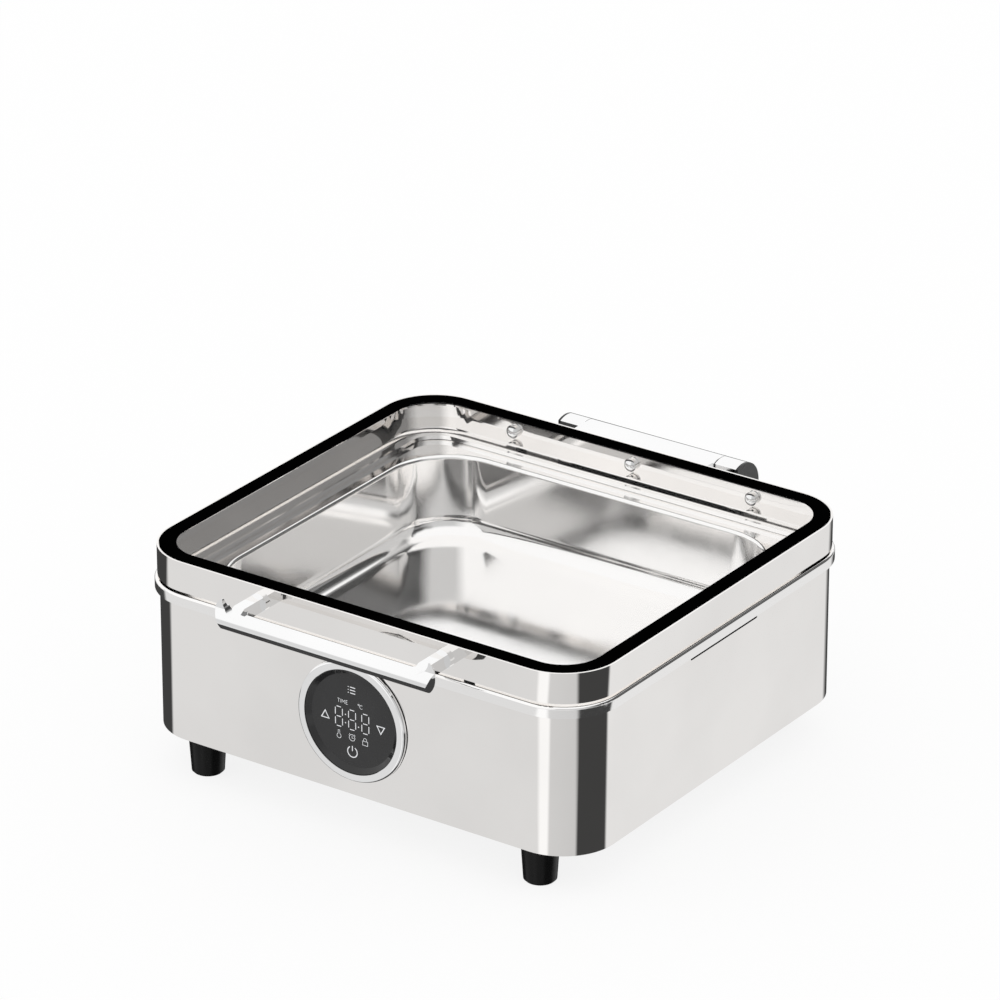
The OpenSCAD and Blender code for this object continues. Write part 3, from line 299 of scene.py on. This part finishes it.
def smooth_group():
    """Geometry nodes that shade smoothly, except across sharp edges."""
    group = bpy.data.node_groups.new("smooth_by_angle", "GeometryNodeTree")
    group.interface.new_socket("Geometry", in_out="INPUT", socket_type="NodeSocketGeometry")
    group.interface.new_socket("Geometry", in_out="OUTPUT", socket_type="NodeSocketGeometry")
    start = add_node(group, "NodeGroupInput")
    end = add_node(group, "NodeGroupOutput")
    weld = add_node(group, "GeometryNodeMergeByDistance")
    weld.inputs["Distance"].default_value = WELD
    faces = add_node(group, "GeometryNodeSetShadeSmooth", domain="FACE")
    edges = add_node(group, "GeometryNodeSetShadeSmooth", domain="EDGE")
    edges.inputs["Shade Smooth"].default_value = False
    angle = add_node(group, "GeometryNodeInputMeshEdgeAngle")
    sharp = add_node(group, "FunctionNodeCompare", data_type="FLOAT", operation="GREATER_THAN")
    sharp.inputs["B"].default_value = math.radians(SHARP_ANGLE)
    group.links.new(start.outputs["Geometry"], weld.inputs["Geometry"])
    group.links.new(weld.outputs["Geometry"], faces.inputs["Geometry"])
    group.links.new(faces.outputs["Geometry"], edges.inputs["Geometry"])
    group.links.new(angle.outputs["Unsigned Angle"], sharp.inputs["A"])
    group.links.new(sharp.outputs["Result"], edges.inputs["Selection"])
    group.links.new(edges.outputs["Geometry"], end.inputs["Geometry"])
    return group


def smooth(piece, group):
    """Smooth shading that keeps flat faces flat."""
    piece.modifiers.new("smooth", "NODES").node_group = group
    weighted = piece.modifiers.new("weighted", "WEIGHTED_NORMAL")
    weighted.keep_sharp = True
    weighted.weight = 100


def stroke(points, width, closed=False):
    """Flat ribbon along a line: its corner points and faces."""
    count = len(points)
    verts, faces = [], []
    for i, (x, z) in enumerate(points):
        before = points[i - 1] if i > 0 or closed else points[i]
        after = points[(i + 1) % count] if i < count - 1 or closed else points[i]
        way = [Vector((x - before[0], z - before[1])), Vector((after[0] - x, after[1] - z))]
        way = [w.normalized() for w in way if w.length > 0]
        along = sum(way, Vector((0, 0))).normalized()
        side = Vector((-along.y, along.x))
        stretch = 1 / max(0.45, side.dot(Vector((-way[0].y, way[0].x))))
        offset = side * width / 2 * stretch
        verts += [(x + offset.x, z + offset.y), (x - offset.x, z - offset.y)]
    for i in range(count if closed else count - 1):
        a, b = 2 * i, 2 * ((i + 1) % count)
        faces.append((a, a + 1, b + 1, b))
    return verts, faces


def arc(cx, cz, radius, start, end, steps=28):
    """Points on an arc, with angles in degrees from the right, anticlockwise."""
    angles = [math.radians(start + (end - start) * i / steps) for i in range(steps + 1)]
    return [(cx + radius * math.cos(a), cz + radius * math.sin(a)) for a in angles]


def dot(x, z, size):
    """A short stroke that reads as a dot."""
    return [(x - size / 2, z), (x + size / 2, z)], size, False


def digit_strokes(x, z):
    """All seven bars of one digit."""
    half_w, half_h, gap = 3.1, 7.7, 1.15
    bars = [[(x - half_w + gap, z + h), (x + half_w - gap, z + h)] for h in (-half_h, 0.0, half_h)]
    for side in (x - half_w, x + half_w):
        bars += [[(side, z + h + gap), (side, z + h + half_h - gap)] for h in (-half_h, 0.0)]
    return [(bar, DIGIT_LINE, False) for bar in bars]


def word_strokes(x, z):
    """The word TIME in thin capitals."""
    half_h = 1.45
    letters = [
        [(-4.4, 1), (-2.5, 1)], [(-3.45, 1), (-3.45, -1)],
        [(-1.65, 1), (-1.65, -1)],
        [(-0.6, -1), (-0.6, 1), (0.6, -0.3), (1.8, 1), (1.8, -1)],
        [(4.4, 1), (2.9, 1), (2.9, -1), (4.4, -1)], [(2.9, 0), (4.1, 0)],
    ]
    return [([(x + u, z + v * half_h) for u, v in line], FINE_LINE, False) for line in letters]


def degree_strokes(x, z):
    """A degree sign: the letter C, with a small ring before it."""
    ring = arc(x - 2.3, z + 1.3, 0.6, 0, 360, 14)[:-1]
    return [(ring, FINE_LINE, True), (arc(x, z, 1.4, 50, 310), DEGREE_LINE, False)]


def menu_strokes(z):
    """Three lines, each with a dot before it."""
    pitch, left, right, dot_x = 2.3, -1.6, 3.0, -3.1
    lines = []
    for row in (-1, 0, 1):
        height = z + pitch * row
        lines.append(([(left, height), (right, height)], BOLD_LINE, False))
        lines.append(dot(dot_x, height, BOLD_LINE))
    return lines


def arrow_strokes(x, z, height):
    """A triangle on a level side, with its tip up, or down where the height is negative."""
    half_w = math.copysign(3.3, height)
    return [([(x - half_w, z), (x + half_w, z), (x, z + height)], BOLD_LINE, True)]


def thermometer_strokes(x, z):
    """A bulb with a tube above it."""
    bulb = arc(x, z - 1.4, 1.8, 115, 425)
    tube = [(x - 0.7, z + 0.3), (x - 0.7, z + 3.1), (x + 0.7, z + 3.1), (x + 0.7, z + 0.3)]
    return [(bulb, THIN_LINE, False), (tube, FINE_LINE, False)]


def clock_strokes(x, z):
    """An alarm clock: its face, its hands and its two bells."""
    face = arc(x, z, 2.5, 0, 360)[:-1]
    hands = [(x, z + 1.6), (x, z - 0.2), (x + 1.3, z - 0.2)]
    bells = [[(x + side * 1.9, z + 2.8), (x + side * 2.8, z + 1.9)] for side in (-1, 1)]
    lines = [(face, THIN_LINE, True), (hands, FINE_LINE, False)]
    return lines + [(bell, THIN_LINE, False) for bell in bells]


def padlock_strokes(x, z):
    """A case with a shackle on it."""
    case = [(x - 2.2, z - 3.0), (x + 2.2, z - 3.0), (x + 2.2, z + 0.2), (x - 2.2, z + 0.2)]
    shackle = [(x - 1.3, z + 0.2)] + arc(x, z + 1.4, 1.3, 180, 0, 12) + [(x + 1.3, z + 0.2)]
    return [(case, THIN_LINE, True), (shackle, FINE_LINE, False)]


def power_strokes(x, z):
    """An open ring with a bar in its gap."""
    ring = arc(x, z, 4.2, 122, 418)
    return [(ring, POWER_LINE, False), ([(x, z + 4.8), (x, z + 0.6)], POWER_LINE, False)]


def symbol_strokes():
    """Every stroke of the display, in millimetres from the middle of the panel."""
    digit_pitch, digit_z, icon_z = 11.6, 2.0, -12.0
    strokes = []
    for column in (-1, 0, 1):
        strokes += digit_strokes(column * digit_pitch, digit_z)
    strokes += [dot(x, z, DOT_SIZE) for x, z in ((-5.8, 5.0), (-5.8, -1.6), (5.6, -2.0))]
    strokes += word_strokes(-8.2, 14.8)
    strokes += degree_strokes(8.2, 14.5)
    strokes += menu_strokes(25.6)
    strokes += arrow_strokes(-23.7, -2.2, 5.7)
    strokes += arrow_strokes(25.1, 3.7, -5.7)
    strokes += thermometer_strokes(-11.7, icon_z)
    strokes += clock_strokes(-0.2, icon_z)
    strokes += padlock_strokes(11.3, icon_z)
    strokes += power_strokes(0.0, -23.2)
    return strokes


def display_print():
    """Digits and symbols on the front of the touch panel."""
    low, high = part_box("control_glass")
    cx, cz = (low.x + high.x) / 2, (low.z + high.z) / 2
    face = low.y + DISH_DEPTH - PRINT_GAP
    verts, faces = [], []
    for points, width, closed in symbol_strokes():
        start = len(verts)
        corners, quads = stroke(points, width, closed)
        for x, z in corners:
            across = (x * PRINT_SCALE + PRINT_SHIFT[0]) * MM
            up = (z * PRINT_SCALE + PRINT_SHIFT[1]) * MM
            verts.append((cx + across, face, cz + up))
        faces += [tuple(start + i for i in quad) for quad in quads]
    mesh = bpy.data.meshes.new("display_print")
    mesh.from_pydata(verts, [], faces)
    piece = bpy.data.objects.new("display_print", mesh)
    bpy.context.scene.collection.objects.link(piece)
    mesh.materials.append(print_material())
    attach(piece, "base")
    return piece


def paint(nodes, material, names):
    """Gives a material to CAD nodes."""
    for name in names:
        nodes[name].data.materials.clear()
        nodes[name].data.materials.append(material)


def paint_all(nodes):
    """Every CAD node's material."""
    paint(nodes, mirror_steel("polished_sheet", warm=0.02), ["outer_housing"])
    paint(nodes, mirror_steel("polished_lid", wave=0.002, warm=0.02), ["lid_frame"])
    paint(nodes, mirror_steel("polished_pan", (0.07, 0.12), wave=0.02, pale=0.97, warm=0.01),
          ["water_pan", "food_pan"])
    paint(nodes, mirror_steel("polished_casting", (0.03, 0.07), pale=0.95),
          ["lid_handle", "hinge_bracket", "hinge_leaf", "control_bezel"])
    paint(nodes, mirror_steel("polished_bolts", (0.06, 0.12)), ["hinge_bolts", "hinge_washers"])
    paint(nodes, plain_metal("plated_steel", (0.50, 0.51, 0.52)),
          ["base_plate", "foot_screws", "foot_nuts", "base_screws", "heater_clamps", "hinge_pin",
           "bracket_screws", "bracket_nuts", "inlet_screws", "handle_screws", "leaf_nuts",
           "temperature_sensor", "heat_shield", "board_bracket"])
    paint(nodes, plain_metal("cast_plate", (0.62, 0.63, 0.64), (0.4, 0.6)), ["heater_plate"])
    paint(nodes, plain_metal("element_sheath", (0.30, 0.28, 0.27), (0.4, 0.6)), ["heating_element"])
    paint(nodes, plain_metal("brass", (0.70, 0.55, 0.26)),
          ["heater_studs", "board_standoffs", "inlet_pins", "earth_stud"])
    paint(nodes, moulded("foot_rubber", (0.004, 0.004, 0.004), (0.22, 0.34), relief=0.04, gloss=0.15),
          ["foot_front_left", "foot_front_right", "foot_rear_left", "foot_rear_right"])
    paint(nodes, moulded("seal_rubber", (0.006, 0.006, 0.006), (0.5, 0.7)),
          ["glass_gasket", "lid_bumpers", "panel_gasket"])
    paint(nodes, moulded("black_plastic", (0.012, 0.012, 0.013)),
          ["power_inlet", "thermal_cutout", "panel_retainer", "board_clip_ring", "buzzer", "hinge_dampers"])
    paint(nodes, moulded("hinge_cap", (0.03, 0.03, 0.03), (0.25, 0.35), gloss=0.3), ["hinge_end_caps"])
    paint(nodes, moulded("ceramic", (0.72, 0.70, 0.64), (0.3, 0.45)), ["element_terminals"])
    paint(nodes, moulded("mineral_wool", (0.55, 0.50, 0.36), (0.85, 0.95), relief=0.6), ["insulation_pad"])
    paint(nodes, moulded("circuit_board", (0.02, 0.10, 0.04), (0.3, 0.45)),
          ["power_board", "display_board"])
    paint(nodes, moulded("relay_case", (0.02, 0.07, 0.22), (0.25, 0.4)), ["relay"])
    paint(nodes, moulded("block_case", (0.04, 0.20, 0.06), (0.3, 0.45)), ["terminal_block"])
    paint(nodes, moulded("coil_tape", (0.60, 0.40, 0.05), (0.3, 0.45)), ["transformer"])
    paint(nodes, moulded("mains_sheath", (0.13, 0.04, 0.015), (0.4, 0.55)), ["mains_leads"])
    paint(nodes, moulded("heat_sleeve", (0.55, 0.52, 0.45), (0.7, 0.85), relief=0.3), ["heater_leads"])
    paint(nodes, moulded("cable_sheath", (0.66, 0.66, 0.66), (0.4, 0.55)), ["display_cable"])
    paint(nodes, moulded("digit_block", (0.66, 0.69, 0.71), (0.4, 0.55)), ["display_module"])
    paint(nodes, lid_glass_material(), ["lid_glass"])
    paint(nodes, panel_material(), ["control_glass"])


def compass_ramp(tree, stops, angle):
    """Brightness by compass angle, as a colour socket."""
    turn = add_node(tree, "ShaderNodeMapRange")
    turn.inputs["From Min"].default_value = -math.pi
    turn.inputs["From Max"].default_value = math.pi
    ramp = add_node(tree, "ShaderNodeValToRGB")
    elements = ramp.color_ramp.elements
    while len(elements) < len(stops):
        elements.new(0.5)
    for element, (degrees, level) in zip(elements, stops):
        element.position = (degrees + 180) / 360
        element.color = (level, level, level, 1)
    tree.links.new(angle, turn.inputs["Value"])
    tree.links.new(turn.outputs["Result"], ramp.inputs["Fac"])
    return ramp.outputs["Color"]


def level_mix(tree, height, heights, below, above):
    """Blends two colours or colour sockets over a range of heights."""
    rise = add_node(tree, "ShaderNodeMapRange", interpolation_type="SMOOTHSTEP")
    rise.inputs["From Min"].default_value = heights[0]
    rise.inputs["From Max"].default_value = heights[1]
    blend = add_node(tree, "ShaderNodeMixRGB")
    tree.links.new(height, rise.inputs["Value"])
    tree.links.new(rise.outputs["Result"], blend.inputs["Fac"])
    for socket, colour in (("Color1", below), ("Color2", above)):
        if isinstance(colour, tuple):
            blend.inputs[socket].default_value = colour
        else:
            tree.links.new(colour, blend.inputs[socket])
    return blend.outputs["Color"]


def surroundings():
    """Soft even dome for light, white to the camera, and studio panels for polished steel to reflect."""
    world = bpy.data.worlds.new("studio")
    bpy.context.scene.world = world
    world.use_nodes = True
    tree = world.node_tree
    place = add_node(tree, "ShaderNodeTexCoord")
    split = add_node(tree, "ShaderNodeSeparateXYZ")
    front = add_node(tree, "ShaderNodeMath", operation="MULTIPLY")
    front.inputs[1].default_value = -1
    angle = add_node(tree, "ShaderNodeMath", operation="ARCTAN2")
    tree.links.new(place.outputs["Generated"], split.inputs["Vector"])
    tree.links.new(split.outputs["Y"], front.inputs[0])
    tree.links.new(split.outputs["X"], angle.inputs[0])
    tree.links.new(front.outputs["Value"], angle.inputs[1])
    height = split.outputs["Z"]
    rings = (LOW_SURROUND, SOFT_SURROUND, HIGH_SURROUND, CLOTH_SURROUND)
    low, soft, high, cloth = [compass_ramp(tree, ring, angle.outputs["Value"]) for ring in rings]
    panels = level_mix(tree, height, GROUND_TO_LOW, GROUND, low)
    panels = level_mix(tree, height, LOW_TO_SOFT, panels, soft)
    panels = level_mix(tree, height, SOFT_TO_CLOTH, panels, cloth)
    panels = level_mix(tree, height, CLOTH_TO_HIGH, panels, high)
    panels = level_mix(tree, height, HIGH_TO_CLOTH, panels, cloth)
    panels = level_mix(tree, height, CLOTH_TO_SKY, panels, WHITE)
    path = add_node(tree, "ShaderNodeLightPath")
    seen = add_node(tree, "ShaderNodeMixRGB")
    seen.inputs["Color1"].default_value = WHITE
    tree.links.new(path.outputs["Is Glossy Ray"], seen.inputs["Fac"])
    tree.links.new(panels, seen.inputs["Color2"])
    tree.links.new(seen.outputs["Color"], tree.nodes["Background"].inputs["Color"])


def floor():
    """Pale floor that takes the soft shadow."""
    bpy.ops.mesh.primitive_plane_add(size=FLOOR_SIZE)
    plane = bpy.context.object
    plane.name = "floor"
    plane.visible_glossy = False
    material, tree, shader = new_material("floor")
    tint(tree, noise(tree, 2), (0.965, 0.965, 0.965), (0.975, 0.975, 0.975), shader.inputs["Base Color"])
    shader.inputs["Roughness"].default_value = 1.0
    shader.inputs["Specular IOR Level"].default_value = 0.0
    white = add_node(tree, "ShaderNodeEmission")
    white.inputs["Color"].default_value = WHITE
    path = add_node(tree, "ShaderNodeLightPath")
    lift = add_node(tree, "ShaderNodeMath", operation="MULTIPLY")
    lift.inputs[1].default_value = FLOOR_LIFT
    blend = add_node(tree, "ShaderNodeMixShader")
    tree.links.new(path.outputs["Is Camera Ray"], lift.inputs[0])
    tree.links.new(lift.outputs["Value"], blend.inputs["Fac"])
    tree.links.new(shader.outputs["BSDF"], blend.inputs[1])
    tree.links.new(white.outputs["Emission"], blend.inputs[2])
    tree.links.new(blend.outputs["Shader"], tree.nodes["Material Output"].inputs["Surface"])
    plane.data.materials.append(material)


def camera():
    """Camera of the photo."""
    low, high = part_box("lid_glass")
    data = bpy.data.cameras.new("camera")
    data.lens = CAMERA_LENS
    data.clip_end = 100
    eye = bpy.data.objects.new("camera", data)
    eye.location = Vector(((low.x + high.x) / 2, (low.y + high.y) / 2, high.z)) + CAMERA_FROM_GLASS
    eye.rotation_euler = (math.radians(90 - CAMERA_ELEVATION), 0, math.radians(CAMERA_AZIMUTH))
    bpy.context.scene.collection.objects.link(eye)
    bpy.context.scene.camera = eye


for stray in list(bpy.data.objects):
    bpy.data.objects.remove(stray)
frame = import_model()
bpy.context.scene.view_settings.view_transform = "Standard"
smoothing = smooth_group()
paint_all(frame["nodes"])
for cad_node in frame["nodes"].values():
    smooth(cad_node, smoothing)
display_print()
floor()
surroundings()
camera()
